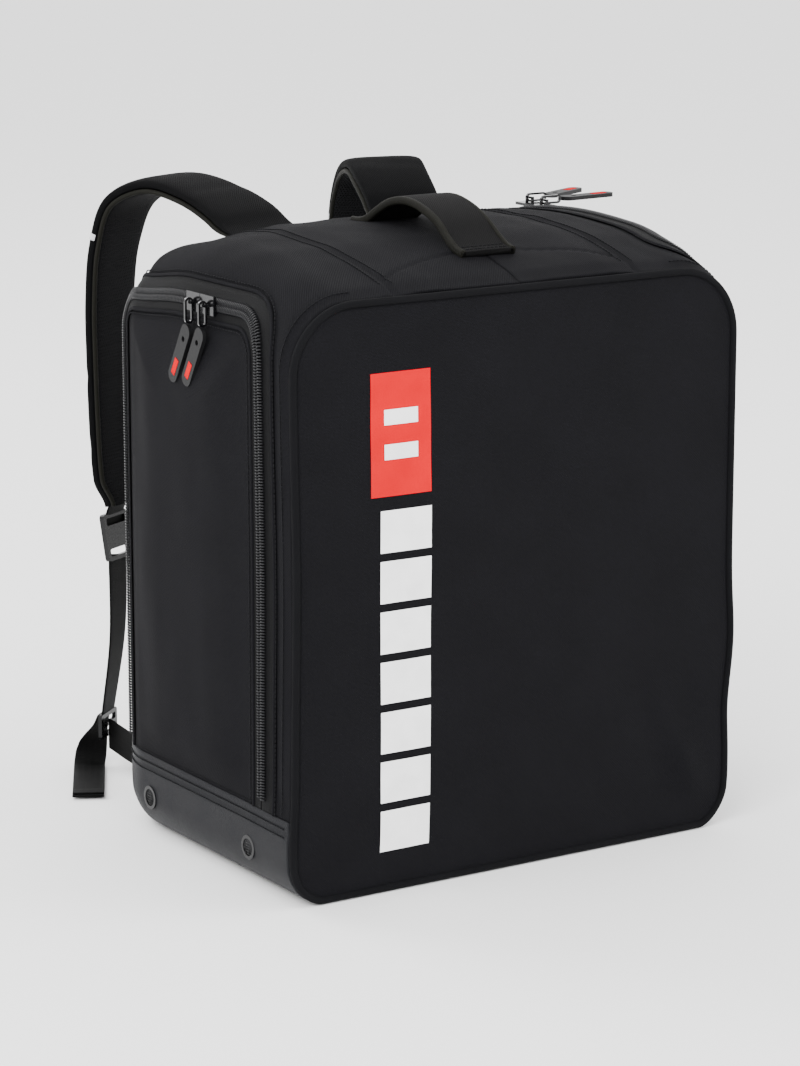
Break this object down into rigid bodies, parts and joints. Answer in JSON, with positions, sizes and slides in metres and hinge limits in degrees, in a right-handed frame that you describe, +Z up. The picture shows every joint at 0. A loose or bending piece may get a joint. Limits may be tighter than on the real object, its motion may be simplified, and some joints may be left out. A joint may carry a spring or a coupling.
{
  "type": "ski boot bag",
  "caption": "Backpack-style ski boot bag: soft box with a zipped drop-down door on each side, a carry handle and padded shoulder straps.",
  "frame": {"origin": "middle of the flat face that the bag stands on, halfway across the front panel's width and halfway through the body's depth", "axes": "+Z up, -Y towards the front panel, +Y towards the wearer's back, +X to the right when facing the front panel"},
  "size_m": [0.436, 0.4322, 0.4858],
  "materials": {
    "fabric": "woven black polyester",
    "piping": "smooth covered cord",
    "mesh": "open air mesh",
    "leather_look": "smooth dark grey coated fabric",
    "board": "stiff sheet",
    "print_red": "printed film",
    "print_white": "printed film",
    "zip": "coil zip on woven tape",
    "buckle_plastic": "satin moulded plastic",
    "webbing": "ribbed webbing",
    "reflective": "reflective tape",
    "black_metal": "gloss black",
    "pull_rubber": "matt moulded rubber",
    "binding": "ribbed binding tape"
  },
  "bodies": {
    "bag": {"front_panel": "fabric", "front_piping": "piping", "top_panel": "fabric", "left_gusset": "fabric", "right_gusset": "fabric", "back_panel": "fabric", "back_mesh_pad": "mesh", "base_panel": "leather_look", "base_board": "board", "front_patch": "print_red", "front_stripe": "print_white", "left_zip_frame_half": "zip", "right_zip_frame_half": "zip", "left_vent_rings": "buckle_plastic", "right_vent_rings": "buckle_plastic", "left_vent_grilles": "buckle_plastic", "right_vent_grilles": "buckle_plastic", "handle_front_foot": "fabric", "handle_rear_foot": "fabric", "left_strap_root": "fabric", "right_strap_root": "fabric", "left_anchor_webbing": "webbing", "right_anchor_webbing": "webbing", "left_tri_glide": "buckle_plastic", "right_tri_glide": "buckle_plastic", "left_webbing_tail": "webbing", "right_webbing_tail": "webbing", "left_lower_webbing": "webbing", "right_lower_webbing": "webbing"},
    "left_door_leaf": {"left_door": "fabric", "left_zip_door_half": "zip"},
    "left_front_slider_body": {"left_front_slider": "black_metal"},
    "left_front_pull_body": {"left_front_link": "black_metal", "left_front_pull": "pull_rubber"},
    "left_rear_slider_body": {"left_rear_slider": "black_metal"},
    "left_rear_pull_body": {"left_rear_link": "black_metal", "left_rear_pull": "pull_rubber"},
    "left_strap": {"left_strap_pad": "fabric", "left_strap_mesh": "mesh", "left_strap_keeper": "webbing", "left_reflective_strip": "reflective", "left_ladder_lock": "buckle_plastic", "left_upper_webbing": "webbing"},
    "right_door_leaf": {"right_door": "fabric", "right_zip_door_half": "zip"},
    "right_front_slider_body": {"right_front_slider": "black_metal"},
    "right_front_pull_body": {"right_front_link": "black_metal", "right_front_pull": "pull_rubber"},
    "right_rear_slider_body": {"right_rear_slider": "black_metal"},
    "right_rear_pull_body": {"right_rear_link": "black_metal", "right_rear_pull": "pull_rubber"},
    "right_strap": {"right_strap_pad": "fabric", "right_strap_mesh": "mesh", "right_strap_keeper": "webbing", "right_reflective_strip": "reflective", "right_ladder_lock": "buckle_plastic", "right_upper_webbing": "webbing"},
    "handle": {"carry_handle": "fabric", "handle_bindings": "binding"}
  },
  "joints": [
    {"name": "left_door_hinge", "type": "hinge", "parent": "bag", "child": "left_door_leaf", "pos_m": [-0.1926, 0, 0.06275], "axis": [0, -1, 0], "range_deg": [0, 85]},
    {"name": "right_door_hinge", "type": "hinge", "parent": "bag", "child": "right_door_leaf", "pos_m": [0.1926, 0, 0.06275], "axis": [0, 1, 0], "range_deg": [0, 85]},
    {"name": "left_front_slider_travel", "type": "slide", "parent": "left_door_leaf", "child": "left_front_slider_body", "axis": [0, -1, 0], "range_m": [0, 0.03]},
    {"name": "left_front_pull_swing", "type": "hinge", "parent": "left_front_slider_body", "child": "left_front_pull_body", "pos_m": [-0.1986, -0.0298, 0.418], "axis": [0, 1, 0], "range_deg": [0, 150]},
    {"name": "left_rear_slider_travel", "type": "slide", "parent": "left_door_leaf", "child": "left_rear_slider_body", "axis": [0, 1, 0], "range_m": [0, 0.045]},
    {"name": "left_rear_pull_swing", "type": "hinge", "parent": "left_rear_slider_body", "child": "left_rear_pull_body", "pos_m": [-0.1986, -0.0102, 0.418], "axis": [0, 1, 0], "range_deg": [0, 150]},
    {"name": "right_front_slider_travel", "type": "slide", "parent": "right_door_leaf", "child": "right_front_slider_body", "axis": [0, -0.9978, 0.0665], "range_m": [0, 0.04]},
    {"name": "right_front_pull_swing", "type": "hinge", "parent": "right_front_slider_body", "child": "right_front_pull_body", "pos_m": [0.167, 0.0722, 0.4566], "axis": [0, 1, 0], "range_deg": [-150, 0]},
    {"name": "right_rear_slider_travel", "type": "slide", "parent": "right_door_leaf", "child": "right_rear_slider_body", "axis": [0, 0.94, -0.3412], "range_m": [0, 0.015]},
    {"name": "right_rear_pull_swing", "type": "hinge", "parent": "right_rear_slider_body", "child": "right_rear_pull_body", "pos_m": [0.167, 0.0918, 0.4566], "axis": [0, 1, 0], "range_deg": [-150, 0]},
    {"name": "handle_lift", "type": "slide", "parent": "bag", "child": "handle", "axis": [0, 0, 1], "range_m": [0, 0.01]},
    {"name": "left_strap_swing", "type": "hinge", "parent": "bag", "child": "left_strap", "pos_m": [-0.067, 0.104, 0.436], "axis": [1, 0, 0], "range_deg": [-15, 4], "deforming": ["left_lower_webbing"]},
    {"name": "right_strap_swing", "type": "hinge", "parent": "bag", "child": "right_strap", "pos_m": [0.067, 0.104, 0.436], "axis": [1, 0, 0], "range_deg": [-15, 4], "deforming": ["right_lower_webbing"]}
  ]
}
